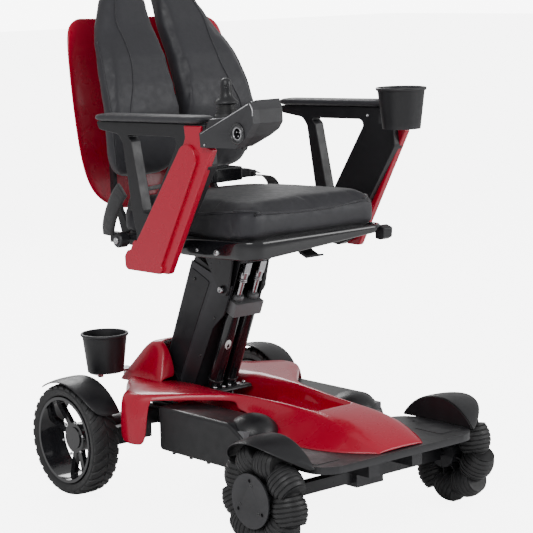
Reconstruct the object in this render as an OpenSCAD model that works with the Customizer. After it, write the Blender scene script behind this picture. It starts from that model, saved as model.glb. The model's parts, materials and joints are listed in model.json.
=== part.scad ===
// Power wheelchair with front omni wheels, leaning seat mast and twin back pads.
// Units are millimetres. The chair faces -Y, +X is the occupant's left, +Z is up.
// The origin lies on the ground at the centre of the footprint.

/* [Rear wheels] */
// Outer radius of a rear tyre
rear_tyre_radius = 133; // [120:1:150]
// Width of a rear tyre
rear_tyre_width = 72; // [60:1:80]
// Radius of the rim where the tyre sits
rear_rim_radius = 102; // [90:1:108]
// Outer face of the rear tyres measured from the centre plane
rear_outer_face = 325; // [315:1:335]
// Position of the rear wheel axis along the chair
rear_axis_y = 337; // [325:1:345]
// Radius of the drive shaft
drive_shaft_radius = 10; // [8:0.5:12]

/* [Front omni wheels] */
// Outer radius of a front omni wheel
omni_radius = 118; // [110:1:122]
// Radius of one barrel roller at its middle
roller_radius = 39; // [34:1:40]
// Number of barrel rollers on a front wheel
roller_count = 9; // [8:1:10]
// Outer face of the front hub covers measured from the centre plane
omni_outer_face = 322; // [316:1:330]
// Position of the front wheel axis along the chair
front_axis_y = -334; // [-340:1:-325]
// Radius of the flat hub cover
omni_cover_radius = 59; // [50:1:62]

/* [Chassis] */
// Top of the footplate above the ground
footplate_top = 193; // [185:1:200]
// Thickness of the footplate board
footplate_thickness = 16; // [12:1:20]
// Height of the raised tread pads on the footplate
tread_height = 1; // [0.5:0.1:1.5]
// Half width of the footplate
footplate_half_width = 234; // [220:1:236]
// Height of the red deck above the ground
deck_top = 258; // [250:1:265]
// Wall thickness of the battery cases
case_wall = 4; // [3:0.5:5]

/* [Mast] */
// Forward lean of the mast from vertical in degrees
mast_lean = 23.3; // [20:0.1:26]
// Half width of the mast column
mast_half_width = 48; // [44:1:50]
// Radius of a lift cylinder
lift_cylinder_radius = 17; // [14:0.5:18]
// Radius of a lift rod
lift_rod_radius = 7; // [6:0.5:8]

/* [Seat] */
// Half width of the seat cushion
cushion_half_width = 198; // [190:1:205]
// Depth of the seat cushion
cushion_depth = 455; // [430:5:470]
// Thickness of the seat cushion
cushion_thickness = 62; // [50:1:70]
// Rearward slope of the seat in degrees
seat_slope = 2.2; // [0:0.1:4]

/* [Back] */
// Recline of the red back shell from vertical in degrees
shell_recline = 8; // [4:0.5:12]
// Thickness of a back pad
back_pad_thickness = 44; // [36:1:50]
// Half width of the red back shell
shell_half_width = 240; // [225:1:250]

/* [Armrests] */
// Distance of an armrest frame centre from the centre plane
armrest_x = 274; // [268:1:280]
// Width of an armrest pad
armrest_pad_width = 54; // [48:1:60]

/* [Hidden] */
$fn = 48;
rear_z = rear_tyre_radius;
omni_z = omni_radius;
rear_mid_x = rear_outer_face - rear_tyre_width / 2;
roller_ring = omni_radius - roller_radius;
omni_mid_x = omni_outer_face - 1 - roller_radius;
mast_y = 287;
mast_z = 278;
seat_y = -195;
seat_z = 621;
back_y = 322;
back_z = 640;
pad_hinge_x = 110;
pad_hinge_y = 300;
gap = 0.4;
socket_y = -304;
socket_z = 882;
pivot_y = 58;
pivot_z = 488;
armrest_pivot_y = 80;
armrest_pivot_z = 592;
red = [0.78, 0.03, 0.12];
black = [0.09, 0.09, 0.1];
dark = [0.16, 0.16, 0.18];
grey = [0.4, 0.4, 0.42];
steel = [0.75, 0.75, 0.77];

// Rounded rectangle centred on the origin
module round_rect(width, height, radius) {
    square([width - 2 * radius, height], center = true);
    square([width, height - 2 * radius], center = true);
    for (side = [-1, 1], end = [-1, 1])
        translate([side * (width / 2 - radius), end * (height / 2 - radius)])
            circle(r = radius);
}

// Side profile drawn in Y and Z, thickened along X from x0 to x1
module side_plate(x0, x1) {
    translate([x0, 0, 0]) rotate([90, 0, 90]) linear_extrude(x1 - x0) children();
}

// Cylinder lying along X from x0 to x1 at a given Y and Z
module across(x0, x1, y, z, radius) {
    translate([x0, y, z]) rotate([0, 90, 0]) cylinder(r = radius, h = x1 - x0);
}

// Plan outline thickened upward from z0 to z1
module plan_plate(z0, z1) {
    translate([0, 0, z0]) linear_extrude(z1 - z0) children();
}

// Places children in the leaning frame of the mast, with Z along the mast
module on_mast() {
    translate([0, mast_y, mast_z]) rotate([mast_lean, 0, 0]) children();
}

// Places children in the sloping frame of the seat, front edge at Y 0
module on_seat() {
    translate([0, seat_y, seat_z]) rotate([-seat_slope, 0, 0]) children();
}

// Places children in the reclined frame of the back shell, Z running up the back
module on_back() {
    translate([0, back_y, back_z]) rotate([-shell_recline, 0, 0]) children();
}

// Shows a right hand piece on the left
module to_left() {
    mirror([1, 0, 0]) children();
}

module chassis_frame() {
    color(black) union() {
        for (side = [-1, 1]) {
            translate([side * 65 - 15, -440, 141]) cube([30, 740, 36]);
            translate([side * 120 - 28, 300, 108]) cube([56, 70, 50]);
        }
        for (y = [-190, 82]) {
            translate([-148, y, 113]) cube([296, 26, 16]);
            for (side = [-1, 1])
                translate([side * 65 - 15, y, 128]) cube([30, 26, 14]);
        }
        translate([-110, -30, 141]) cube([220, 40, 30]);
        translate([-148, 290, 141]) cube([296, 40, 34]);
        translate([-80, 150, 141]) cube([160, 180, 40]);
        translate([-50, -360, 141]) cube([100, 52, 30]);
    }
}

module deck_outline() {
    polygon([[-190, -190], [-172, -214], [-96, -246], [96, -246], [172, -214], [190, -190],
        [192, 60], [186, 240], [150, 300], [-150, 300], [-186, 240], [-192, 60]]);
}

module nose_outer() {
    hull() {
        plan_plate(footplate_top + 1, footplate_top + 5)
            polygon([[-62, -458], [62, -458], [108, -407], [142, -338], [168, -214],
                [168, -160], [-168, -160], [-168, -214], [-142, -338], [-108, -407]]);
        plan_plate(footplate_top + 32, footplate_top + 33)
            polygon([[-52, -412], [52, -412], [98, -330], [158, -165], [-158, -165],
                [-98, -330]]);
        plan_plate(deck_top - 4, deck_top - 3)
            polygon([[-40, -318], [40, -318], [74, -262], [146, -170], [-146, -170],
                [-74, -262]]);
    }
}

module body_shell() {
    color(red) difference() {
        union() {
            intersection() {
                plan_plate(230, deck_top) deck_outline();
                translate([0, 310, 0]) rotate([90, 0, 0]) linear_extrude(570)
                    polygon([[-196, 237], [-166, deck_top], [166, deck_top], [196, 237]]);
            }
            nose_outer();
            intersection() {
                side_plate(-112, 112)
                    polygon([[232, 240], [240, 290], [262, 334], [276, 341], [306, 338],
                        [334, 318], [366, 268], [384, 240]]);
                translate([0, 400, 0]) rotate([90, 0, 0]) linear_extrude(200)
                    polygon([[-111, 239], [-108, 280], [-92, 322], [-76, 340], [76, 340],
                        [92, 322], [108, 280], [111, 239]]);
            }
            plan_plate(182, deck_top - 4) translate([0, 338]) round_rect(190, 84, 30);
            for (side = [-1, 1])
                plan_plate(142, 250)
                    polygon([[side * 216.5, 84], [side * 252, 92], [side * 265, 110],
                        [side * 265, 194], [side * 190, 196], [side * 190, 130],
                        [side * 216.5, 130]]);
            for (side = [-1, 1])
                plan_plate(237, 250)
                    polygon([[side * 180, 84], [side * 218, 84], [side * 218, 135],
                        [side * 180, 135]]);
        }
        // open trough behind the nose
        plan_plate(footplate_top + 6, deck_top + 5)
            polygon([[-56, -250], [56, -250], [76, -110], [92, -20], [96, 40], [-96, 40],
                [-92, -20], [-76, -110]]);
        // hollow below the deck for batteries, drive controller and mast base
        plan_plate(125, deck_top - 6)
            polygon([[-100, 40], [100, 40], [100, 290], [-100, 290]]);
        plan_plate(125, deck_top - 6)
            polygon([[-184, -170], [-100, -170], [-100, 290], [-140, 290], [-184, 220]]);
        plan_plate(125, deck_top - 6)
            polygon([[184, -170], [100, -170], [100, 290], [140, 290], [184, 220]]);
        plan_plate(125, footplate_top + 3)
            polygon([[-90, -440], [90, -440], [120, -180], [90, 60], [-90, 60],
                [-120, -180]]);
        // arches over the front ends of the battery cases
        for (side = [-1, 1])
            translate([side * 158 - 46, -202, 120]) cube([92, 60, 116]);
        // seat for the cup bracket
        translate([-120, 365, 238]) cube([36, 30, 40]);
        // slot for the leaning mast
        translate([0, mast_y, mast_z]) rotate([mast_lean, 0, 0])
            translate([-67, -230, -160]) cube([134, 242, 300]);
        // room for the base bracket
        translate([-66, 140, 176]) cube([132, 172, 118]);
        translate([-65, 85, 170]) cube([130, 265, 22]);
    }
}

module battery_case_shape(inset) {
    plan_plate(129 + inset, 232 - inset) {
        translate([-165, -43]) round_rect(100 - 2 * inset, 306 - 2 * inset, 22 - inset);
    }
}

module battery_case_right() {
    color(black) difference() {
        battery_case_shape(0);
        battery_case_shape(case_wall);
    }
}

module battery_case_left() {
    to_left() battery_case_right();
}

module battery_pack_right() {
    color(dark) translate([-165, -43, 176]) cube([86, 280, 84], center = true);
}

module battery_pack_left() {
    to_left() battery_pack_right();
}

module drive_controller() {
    color(grey) translate([-60, -170, 177]) cube([120, 120, 17]);
}

module drive_motor_right() {
    color(black) union() {
        across(-236, -150, rear_axis_y, rear_z, 38);
        across(-242, -236, rear_axis_y, rear_z, 30);
        across(-150, -148, rear_axis_y, rear_z, 30);
        across(-284.6, -242, rear_axis_y, rear_z, drive_shaft_radius);
        translate([-210, rear_axis_y - 60, rear_z - 20]) cube([50, 60, 40]);
    }
}

module drive_motor_left() {
    to_left() drive_motor_right();
}

module fender_shell(axis_y, axis_z, inner, outer, x0, x1) {
    difference() {
        across(x0, x1, axis_y, axis_z, outer);
        across(x0 - 1, x1 + 1, axis_y, axis_z, inner);
    }
}

module rear_fender_right() {
    color(black) union() {
        intersection() {
            fender_shell(rear_axis_y, rear_z, 142, 147, -328, -248);
            side_plate(-340, -240)
                polygon([[rear_axis_y, rear_z], [rear_axis_y + 70, rear_z + 160],
                    [rear_axis_y - 120, rear_z + 160], [rear_axis_y - 170, rear_z + 90]]);
        }
        intersection() {
            fender_shell(rear_axis_y, rear_z, 106, 147, -251, -247);
            side_plate(-340, -240)
                polygon([[rear_axis_y, rear_z], [rear_axis_y + 70, rear_z + 160],
                    [rear_axis_y - 120, rear_z + 160], [rear_axis_y - 170, rear_z + 90]]);
        }
        side_plate(-262, -247)
            polygon([[196.5, 228], [220, 210], [226, 226], [206, 246], [196.5, 246]]);
    }
}

module rear_fender_left() {
    to_left() rear_fender_right();
}

module front_fender_right() {
    color(black) union() {
        intersection() {
            fender_shell(front_axis_y, omni_z, 127, 131, -322, -238);
            side_plate(-340, -230)
                polygon([[front_axis_y, omni_z], [front_axis_y + 100, omni_z + 128],
                    [front_axis_y - 110, omni_z + 140], [front_axis_y - 130, omni_z + 110]]);
            plan_plate(60, 300)
                polygon([[-240, front_axis_y - 130], [-318, front_axis_y - 40],
                    [-322, front_axis_y + 30], [-300, front_axis_y + 100],
                    [-238, front_axis_y + 100]]);
        }
        intersection() {
            fender_shell(front_axis_y, omni_z, 60, 131, -241.5, -238);
            side_plate(-340, -230)
                polygon([[front_axis_y, omni_z + 50], [front_axis_y + 100, omni_z + 128],
                    [front_axis_y - 110, omni_z + 140], [front_axis_y - 130, omni_z + 110]]);
        }
        translate([-239, front_axis_y + 20, 163]) cube([159, 24, 13]);
    }
}

module front_fender_left() {
    to_left() front_fender_right();
}

module front_axle_beam() {
    color(black) union() {
        translate([-234, front_axis_y - 13, 105]) cube([468, 26, 26]);
        translate([-40, front_axis_y - 26, 96]) cube([80, 52, 45]);
        for (side = [-1, 1])
            across(side < 0 ? -300 : 234, side < 0 ? -234 : 300, front_axis_y, omni_z, 9);
    }
}

module footplate() {
    color(black) difference() {
        union() {
            plan_plate(footplate_top - footplate_thickness, footplate_top)
                translate([0, -350]) round_rect(2 * footplate_half_width, 240, 55);
            // raised tread pads beside the nose
            for (side = [-1, 1])
                plan_plate(footplate_top - 1, footplate_top + tread_height)
                    translate([side * 185, -387]) round_rect(70, 84, 8);
        }
        plan_plate(footplate_top - 30, footplate_top + 1)
            polygon([[-160, -262], [160, -262], [175, -200], [-175, -200]]);
        for (side = [-1, 1])
            translate([side * 196, -300, 170]) cylinder(r = 4, h = 30);
    }
}

module mast_base() {
    color(black) difference() {
        union() {
            for (side = [-1, 1])
                side_plate(side < 0 ? -58 : 49, side < 0 ? -49 : 58)
                    polygon([[mast_y + 18, mast_z - 6], [mast_y - 4, mast_z + 18],
                        [mast_y - 24, mast_z + 8], [mast_y - 90, 200], [mast_y - 100, 181],
                        [mast_y + 18, 181]]);
            translate([-64, 90, 181]) cube([128, 255, 8]);
            for (x = [-56, -34, -10, 14, 36, 56])
                translate([x, 100, 189]) cylinder(r = 4, h = 4);
        }
        across(-60, 60, mast_y, mast_z, 8);
    }
    color(steel) for (side = [-1, 1])
        union() {
            across(side < 0 ? -64 : 58, side < 0 ? -58 : 64, mast_y, mast_z, 13);
            across(side < 0 ? -58 : 48, side < 0 ? -48 : 58, mast_y, mast_z, 8);
        }
}

module mast_profile() {
    polygon([[7, -99.9], [7, 285], [-144, 300], [-144, 223], [-119, 175], [-108, 20],
        [-108, -50.3]]);
}

module lower_mast() {
    color(dark) on_mast() difference() {
        side_plate(-mast_half_width, mast_half_width) mast_profile();
        // cavity of the rear box section, open at the top
        translate([-mast_half_width + 3, -69, 10]) cube([2 * mast_half_width - 6, 73, 400]);
        // open front channel for the lift cylinders
        translate([-mast_half_width + 3, -200, -80]) cube([2 * mast_half_width - 6, 128, 500]);
        // window that lets the carriage arms reach forward
        translate([-mast_half_width + 3, -80, 222]) cube([2 * mast_half_width - 6, 40, 200]);
        // slots for the upper pivot
        translate([-80, -139, 240]) cube([160, 24, 120]);
    }
}

module lift_cylinder_right() {
    color(black) on_mast() difference() {
        union() {
            translate([-22, -146, -24]) cylinder(r = lift_cylinder_radius, h = 252);
            translate([-22, -146, -23]) cylinder(r = 19, h = 24);
        }
        translate([-22, -146, -16]) cylinder(r = lift_rod_radius + gap, h = 300);
    }
}

module lift_cylinder_left() {
    to_left() lift_cylinder_right();
}

module cylinder_collar() {
    color(grey) on_mast() difference() {
        translate([-41.4, -168, 228]) cube([82.8, 44, 34]);
        for (side = [-1, 1])
            translate([side * 22, -146, 200]) cylinder(r = lift_rod_radius + gap, h = 100);
    }
}

module rear_cup_bracket() {
    color(steel) difference() {
        union() {
            translate([-196, 366, 262]) cube([110, 34, 5]);
            translate([-96, 366, 240]) cube([10, 34, 27]);
        }
        translate([-150, 378, 250]) cube([40, 9, 30]);
    }
    color(black) translate([-176, 384, 254]) cylinder(r = 7, h = 18);
}

module rear_cup() {
    color(black) translate([-176, 362, 272]) difference() {
        union() {
            cylinder(r1 = 43, r2 = 54, h = 92);
            translate([0, 0, 86]) cylinder(r = 55.5, h = 6);
        }
        translate([0, 0, 3]) cylinder(r1 = 40.5, r2 = 51.5, h = 90);
    }
}

module rear_tyre_right() {
    color(dark) translate([-rear_mid_x, rear_axis_y, rear_z]) rotate([0, 90, 0])
        rotate_extrude($fn = 72) translate([rear_tyre_radius, 0]) difference() {
            intersection() {
                translate([-20, 0]) round_rect(40, rear_tyre_width, 16);
                translate([-90, 0]) circle(r = 90, $fn = 96);
            }
            translate([-60, -50])
                square([60 - rear_tyre_radius + rear_rim_radius, 100]);
        }
}

module rear_tyre_left() {
    to_left() rear_tyre_right();
}

module rear_rim_right() {
    color(black) translate([-rear_mid_x, rear_axis_y, rear_z]) rotate([0, 90, 0])
        difference() {
            union() {
                difference() {
                    translate([0, 0, -34])
                        cylinder(r = rear_rim_radius, h = 68, $fn = 72);
                    translate([0, 0, -35]) cylinder(r = 95, h = 70, $fn = 72);
                }
                translate([0, 0, 4]) cylinder(r = 34, h = 28);
                for (turn = [0:2], pair = [-1, 1])
                    rotate([0, 0, turn * 120 + pair * 15])
                        translate([0, -7, 4]) cube([97, 14, 12]);
            }
            translate([0, 0, 3]) cylinder(r = drive_shaft_radius + 0.05, h = 60);
        }
}

module rear_rim_left() {
    to_left() rear_rim_right();
}

module hub_cap_right() {
    color(black) translate([-rear_mid_x, rear_axis_y, rear_z]) rotate([0, 90, 0])
        union() {
            translate([0, 0, -4]) cylinder(r = 36, h = 8);
            translate([0, 0, -7]) cylinder(r = 26, h = 3);
        }
}

module hub_cap_left() {
    to_left() hub_cap_right();
}

module omni_hub_right() {
    color(dark) translate([-omni_mid_x, front_axis_y, omni_z]) rotate([0, 90, 0])
        difference() {
            union() {
                translate([0, 0, -30]) cylinder(r = 36, h = 62);
                for (turn = [0:roller_count - 1])
                    rotate([0, 0, turn * 360 / roller_count])
                        translate([30, -1.5, -26]) cube([62, 3, 52]);
            }
            translate([0, 0, -22]) cylinder(r = 9.05, h = 60);
        }
}

module omni_hub_left() {
    to_left() omni_hub_right();
}

module omni_rollers_right() {
    color(black) translate([-omni_mid_x, front_axis_y, omni_z]) rotate([0, 90, 0])
        for (turn = [0:roller_count - 1])
            rotate([0, 0, turn * 360 / roller_count + 2.5])
                rotate_extrude(angle = 360 / roller_count - 5, $fn = 90)
                    translate([roller_ring, 0]) circle(r = roller_radius, $fn = 30);
}

module omni_rollers_left() {
    to_left() omni_rollers_right();
}

module omni_cover_right() {
    color(dark) difference() {
        union() {
            across(-omni_outer_face, -omni_outer_face + 4, front_axis_y, omni_z,
                omni_cover_radius);
            across(-omni_outer_face + 4, -omni_mid_x - 30, front_axis_y, omni_z, 34);
        }
        for (turn = [0:2])
            translate([0, front_axis_y, omni_z]) rotate([turn * 120, 0, 0])
                across(-omni_outer_face - 1, -omni_outer_face + 3, 0, 44, 4);
    }
}

module omni_cover_left() {
    to_left() omni_cover_right();
}

module upper_mast() {
    color(black) on_mast() difference() {
        union() {
            translate([-mast_half_width + 3 + gap, -68.6, 60])
                cube([2 * (mast_half_width - 3 - gap), 72.2, 240]);
            for (side = [-1, 1])
                side_plate(side < 0 ? -44.6 : 42.2, side < 0 ? -42.2 : 44.6)
                    polygon([[-68, 262], [-68, 300], [-110, 372], [-146, 372], [-146, 262]]);
            side_plate(-44.6, 44.6)
                polygon([[-150, 362], [-150, 372], [-110, 372], [-66, 300], [-72, 292],
                    [-116, 362]]);
        }
        translate([-38, -60, 40]) cube([76, 56, 240]);
    }
    color(black) for (side = [-1, 1])
        across(side < 0 ? -57.6 : 42.2, side < 0 ? -42.2 : 57.6, pivot_y, pivot_z, 10);
}

module lift_rod_right() {
    color(steel) on_mast() union() {
        translate([-22, -146, 20]) cylinder(r = lift_rod_radius, h = 310);
        translate([-22, -146, 322]) cylinder(r = 10, h = 14);
        translate([-31, -154, 330]) cube([18, 16, 32]);
    }
}

module lift_rod_left() {
    to_left() lift_rod_right();
}

module seat_bracket() {
    color(black) difference() {
        union() {
            for (side = [-1, 1])
                side_plate(side < 0 ? -58 : 51.5, side < 0 ? -51.5 : 58)
                    polygon([[pivot_y - 16, pivot_z - 4], [pivot_y - 8, pivot_z - 15],
                        [pivot_y + 8, pivot_z - 15], [pivot_y + 17, pivot_z - 2],
                        [138, 590], [138, 601], [-20, 606], [-20, 590], [22, 560]]);
            side_plate(-130, 130)
                polygon([[-22, 600], [140, 594], [140, 607.8], [-22, 614]]);
        }
        across(-60, 60, pivot_y, pivot_z, 10.05);
    }
    color(steel) for (side = [-1, 1])
        across(side < 0 ? -64 : 58, side < 0 ? -58 : 64, pivot_y, pivot_z, 9);
}

module seat_frame() {
    color(black) difference() {
        union() {
            on_seat() {
                plan_plate(0, 12) translate([0, 225]) round_rect(404, 450, 40);
                plan_plate(12, 17) translate([0, 225]) round_rect(380, 430, 30);
            }
            for (side = [-1, 1]) {
                translate([side * 214 - 22, 48, 600]) cube([44, 80, 16]);
                translate([side * 181 - 8, 210, 590]) cube([16, 96, 24]);
                across(side < 0 ? -armrest_x - 13.6 : 200, side < 0 ? -200 : armrest_x + 13.6,
                    armrest_pivot_y, armrest_pivot_z, 8);
                translate([side * 222 - 14, armrest_pivot_y - 12, armrest_pivot_z - 8])
                    cube([28, 24, 20]);
            }
            translate([15, -102, 594]) cube([12, 20, 26]);
        }
        across(-200, 200, 289, 604, 8.05);
        across(5, 35, -92, 602, 5.05);
    }
}

module seat_cushion() {
    color(dark) on_seat() union() {
        plan_plate(17, cushion_thickness)
            translate([0, 3 + cushion_depth / 2])
                round_rect(2 * cushion_half_width, cushion_depth, 42);
        plan_plate(cushion_thickness, cushion_thickness + 12)
            translate([0, 3 + cushion_depth / 2])
                round_rect(2 * cushion_half_width - 10, cushion_depth - 10, 38);
        plan_plate(cushion_thickness + 12, cushion_thickness + 20)
            translate([0, 3 + cushion_depth / 2])
                round_rect(2 * cushion_half_width - 34, cushion_depth - 34, 30);
    }
}

module seat_lever() {
    color(black) union() {
        across(16, 73, -92, 602, 5);
        side_plate(29, 67)
            polygon([[-96, 605], [-88, 599], [-112, 577], [-134, 569], [-152, 573],
                [-150, 577], [-134, 575], [-114, 583]]);
    }
}

module back_bracket() {
    color(black) union() {
        for (side = [-1, 1])
            side_plate(side * 150 - 5, side * 150 + 5)
                polygon([[276, 598], [284, 590], [300, 592], [322, 650], [344, 690],
                    [352, 930], [338, 930], [330, 700], [300, 650], [276, 616]]);
        side_plate(-156, 156) polygon([[333, 760], [343, 760], [349, 920], [339, 920]]);
        for (side = [-1, 1])
            translate([side * 40 - 10, 340, 790]) cube([20, 49.5, 20]);
        across(-192, 192, 289, 604, 8);
    }
    // pivot posts of the two back pads
    color(steel) for (side = [-1, 1])
        translate([side * pad_hinge_x, 316, 830]) {
            cylinder(r = 7, h = 90);
            translate([-8, 0, 30]) cube([16, 26, 30]);
        }
}

module shell_outline() {
    polygon([[-90, 22], [-150, 34], [-200, 66], [-228, 120], [-238, 200],
        [-shell_half_width, 300], [-236, 400], [-226, 450], [-206, 470], [-176, 476],
        [176, 476], [206, 470], [226, 450], [236, 400], [shell_half_width, 300],
        [238, 200], [228, 120], [200, 66], [150, 34], [90, 22]]);
}

module back_shell() {
    color(red) on_back() intersection() {
        translate([0, 140, 0]) rotate([90, 0, 0]) linear_extrude(200) shell_outline();
        translate([0, -461, 0]) difference() {
            cylinder(r = 520, h = 520, $fn = 120);
            translate([0, 0, -1]) cylinder(r = 512, h = 522, $fn = 120);
        }
    }
}

module pad_outline() {
    polygon([[-26, 762], [-20, 830], [-22, 980], [-20, 1090], [-24, 1150], [-44, 1184],
        [-76, 1192], [-112, 1178], [-142, 1150], [-166, 1108], [-196, 1056], [-214, 1000],
        [-223, 944], [-225, 886], [-222, 836], [-210, 786], [-188, 756], [-150, 741],
        [-100, 738], [-50, 746]]);
}

module pad_side() {
    polygon([[262, 736], [260, 780], [252, 830], [249, 893], [264, 950], [292, 1018],
        [332, 1085], [361, 1148], [376, 1192], [416, 1176], [400, 1130], [370, 1066],
        [332, 1002], [307, 940], [293, 893], [296, 830], [304, 780], [306, 736]]);
}

module back_pad_right() {
    color(dark) difference() {
        union() {
            translate([-pad_hinge_x, pad_hinge_y, 0]) rotate([0, 0, 4])
                translate([pad_hinge_x, -pad_hinge_y, 0]) intersection() {
                    translate([0, 500, 0]) rotate([90, 0, 0]) linear_extrude(400)
                        pad_outline();
                    side_plate(-240, 0) pad_side();
                }
            for (z = [834, 900])
                translate([-pad_hinge_x, 316, z]) {
                    cylinder(r = 12, h = 16);
                    translate([-10, -34, 0]) cube([20, 34, 16]);
                }
        }
        // bore for the pivot post
        translate([-pad_hinge_x, 316, 820]) cylinder(r = 7.05, h = 110);
    }
}

module back_pad_left() {
    to_left() back_pad_right();
}

module armrest_frame_right() {
    color(black) side_plate(-armrest_x - 14, -armrest_x + 14) difference() {
        union() {
            polygon([[208, 884], [196, 866], [126, 858], [118, 846], [82, 690], [66, 640],
                [72, 592], [64, 566], [10, 560], [-30, 576], [-186, 806], [-176, 893.8]]);
            translate([armrest_pivot_y, armrest_pivot_z]) circle(r = 20);
        }
        polygon([[96, 858], [80, 846], [48, 700], [28, 694], [-78, 852], [-72, 862]]);
        translate([armrest_pivot_y, armrest_pivot_z]) circle(r = 8.05);
    }
}

module armrest_frame_left() {
    to_left() armrest_frame_right();
}

module armrest_cover_right() {
    color(red) union() {
        side_plate(-armrest_x - 27, -armrest_x - 14)
            polygon([[100, 589], [99, 567], [94, 562], [6, 562], [0, 572], [-159, 787],
                [-158, 830], [-126, 850], [-98, 844], [-86, 832], [68, 628], [76, 608]]);
        across(-armrest_x - 27, -armrest_x - 14, -127, 819, 31);
        side_plate(-armrest_x - 24, -armrest_x - 14)
            polygon([[-111, 888], [-172, 890], [-165, 872], [-174, 850], [-210, 838],
                [-160, 770], [-110, 830], [-120, 868]]);
    }
}

module armrest_cover_left() {
    to_left() armrest_cover_right();
}

module armrest_pad_right() {
    color(dark) translate([-armrest_x, 18, 0]) rotate([-1.5, 0, 0])
        plan_plate(889, 903) translate([0, -23])
            round_rect(armrest_pad_width, 382, 12);
}

module armrest_pad_left() {
    color(dark) translate([armrest_x, 18, 0]) rotate([-1.5, 0, 0])
        plan_plate(889, 903) translate([0, -16])
            round_rect(armrest_pad_width, 368, 12);
}

module control_pod() {
    color(black) difference() {
        union() {
            // outer cheek with the charge socket
            side_plate(-304, -285)
                polygon([[-182, 847], [-179, 877], [-344, 947], [-352, 932], [-353, 904],
                    [-330, 875], [-298, 851]]);
            // inner block with the joystick
            side_plate(-286, -222)
                polygon([[-182, 852], [-179, 886], [-192, 905], [-246, 911.5], [-262, 915],
                    [-342, 951], [-351, 932], [-352, 904], [-330, 876], [-298, 853]]);
        }
        // charge socket in the outer face
        across(-305, -294, socket_y, socket_z, 11);
        // well for the joystick
        translate([-263, -222, 890]) cylinder(r = 22, h = 50);
        // seats of the two push buttons
        for (step = [0, 1])
            translate([-280 + 34 * step, -280, 904]) cylinder(r = 5.5, h = 48);
        // sloping underside towards the occupant
        translate([0, -170, 0]) rotate([90, 0, 0]) linear_extrude(200)
            polygon([[-270, 844], [-221, 890], [-221, 844]]);
    }
}

module joystick_gimbal() {
    color(steel) translate([-263, -222, 902]) difference() {
        sphere(r = 9);
        rotate([90, 0, 0]) translate([0, 0, -20]) cylinder(r = 2.4, h = 40);
        rotate([0, 90, 0]) translate([0, 0, -20]) cylinder(r = 1.8, h = 40);
    }
}

module joystick_stick() {
    color(black) translate([-263, -222, 0]) union() {
        translate([0, 0, 912]) cylinder(r = 4, h = 40);
        translate([0, 0, 940]) cylinder(r1 = 17, r2 = 9, h = 14);
        translate([0, 0, 954]) cylinder(r = 9, h = 24);
        translate([0, 0, 978]) sphere(r = 9);
    }
}

module joystick_boot() {
    color(dark) translate([-263, -222, 0]) difference() {
        union() {
            translate([0, 0, 912]) cylinder(r = 21, h = 8);
            translate([0, 0, 920]) cylinder(r1 = 20, r2 = 13, h = 16);
        }
        translate([0, 0, 900]) cylinder(r = 9.6, h = 50);
    }
}

module power_button() {
    color(grey) translate([-280, -280, 906]) cylinder(r = 5, h = 21);
}

module horn_button() {
    color(grey) translate([-246, -280, 906]) cylinder(r = 5, h = 21);
}

module armrest_cup() {
    color(black) union() {
        translate([235, -235, 850]) difference() {
            union() {
                cylinder(r1 = 43, r2 = 54, h = 92);
                translate([0, 0, 86]) cylinder(r = 55.5, h = 6);
            }
            translate([0, 0, 3]) cylinder(r1 = 40.5, r2 = 51.5, h = 90);
        }
        translate([246, -190, 856]) cube([14, 40, 24]);
    }
}

module lap_belt() {
    color(black) on_seat() union() {
        translate([-190, 330, cushion_thickness + 20]) cube([150, 46, 3]);
        translate([-52, 318, cushion_thickness + 20]) cube([78, 58, 20]);
        translate([30, 326, cushion_thickness + 20]) cube([160, 46, 3]);
        translate([26, 322, cushion_thickness + 20]) cube([34, 52, 14]);
    }
}

module belt_anchor() {
    color(black) for (side = [-1, 1])
        union() {
            across(side * 222 - 12, side * 222 + 12, 214, 606, 16);
            across(side < 0 ? -212 : 202, side < 0 ? -202 : 212, 214, 610, 5);
            side_plate(side * 226 - 3, side * 226 + 3)
                polygon([[200, 612], [226, 612], [214, 700], [180, 726], [172, 712],
                    [196, 690]]);
        }
}

chassis_frame();
body_shell();
battery_case_right();
battery_case_left();
battery_pack_right();
battery_pack_left();
drive_controller();
drive_motor_right();
drive_motor_left();
rear_fender_right();
rear_fender_left();
front_fender_right();
front_fender_left();
front_axle_beam();
footplate();
mast_base();
lower_mast();
lift_cylinder_right();
lift_cylinder_left();
cylinder_collar();
rear_cup_bracket();
rear_cup();
rear_tyre_right();
rear_tyre_left();
rear_rim_right();
rear_rim_left();
hub_cap_right();
hub_cap_left();
omni_hub_right();
omni_hub_left();
omni_rollers_right();
omni_rollers_left();
omni_cover_right();
omni_cover_left();
upper_mast();
lift_rod_right();
lift_rod_left();
seat_bracket();
seat_frame();
seat_cushion();
seat_lever();
back_bracket();
back_shell();
back_pad_right();
back_pad_left();
armrest_frame_right();
armrest_frame_left();
armrest_cover_right();
armrest_cover_left();
armrest_pad_right();
armrest_pad_left();
control_pod();
joystick_gimbal();
joystick_stick();
joystick_boot();
power_button();
horn_button();
armrest_cup();
lap_belt();
belt_anchor();
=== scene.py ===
import bpy, bmesh, math, json
from mathutils import Vector, Matrix
from mathutils.bvhtree import BVHTree


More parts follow.
